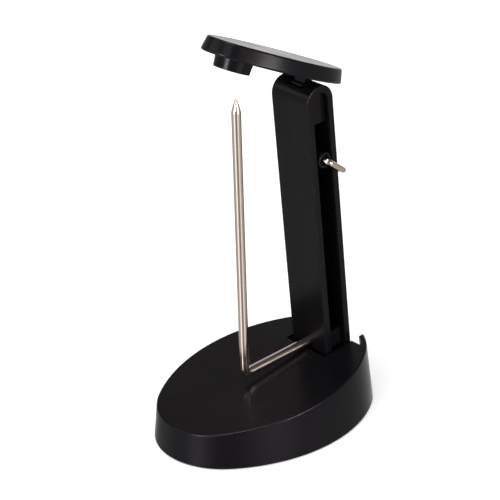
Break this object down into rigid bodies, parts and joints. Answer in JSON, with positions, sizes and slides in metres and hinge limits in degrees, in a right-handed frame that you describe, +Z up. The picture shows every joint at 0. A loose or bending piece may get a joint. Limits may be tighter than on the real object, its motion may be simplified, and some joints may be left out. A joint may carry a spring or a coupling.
{
  "type": "receipt holder",
  "caption": "Desk receipt spike: a bent wire spike on a sloping oval base, with a leaning column that carries a tipping oval cover and a small wire bail.",
  "frame": {"origin": "on the ground, at the middle of the whole part's length and width, which is the middle of the oval base", "axes": "+Z up, +X to the right, +Y to the rear: the spike stands in front of the column, at -Y"},
  "size_m": [0.076, 0.105, 0.176],
  "materials": {
    "black_plastic": "satin black moulded plastic with a very fine texture",
    "bright_steel": "bright plated steel wire with fine marks along its length",
    "plain_steel": "plain zinc-plated steel",
    "rubber": "dull black rubber"
  },
  "bodies": {
    "stand": {"base": "black_plastic", "column": "black_plastic", "spike": "bright_steel", "hinge_pin": "plain_steel", "screw_left": "plain_steel", "screw_right": "plain_steel", "foot_front_left": "rubber", "foot_front_right": "rubber", "foot_rear_left": "rubber", "foot_rear_right": "rubber"},
    "cover": {"cover": "black_plastic"},
    "bail": {"bail": "bright_steel"}
  },
  "joints": [
    {"name": "cover_tilt", "type": "hinge", "parent": "stand", "child": "cover", "pos_m": [0, 0.02401, 0.14477], "axis": [1, 0, 0], "range_deg": [-4, 21.5]},
    {"name": "bail_swing", "type": "hinge", "parent": "stand", "child": "bail", "pos_m": [0, 0.02638, 0.11436], "axis": [1, 0, 0], "range_deg": [0, 80]}
  ]
}
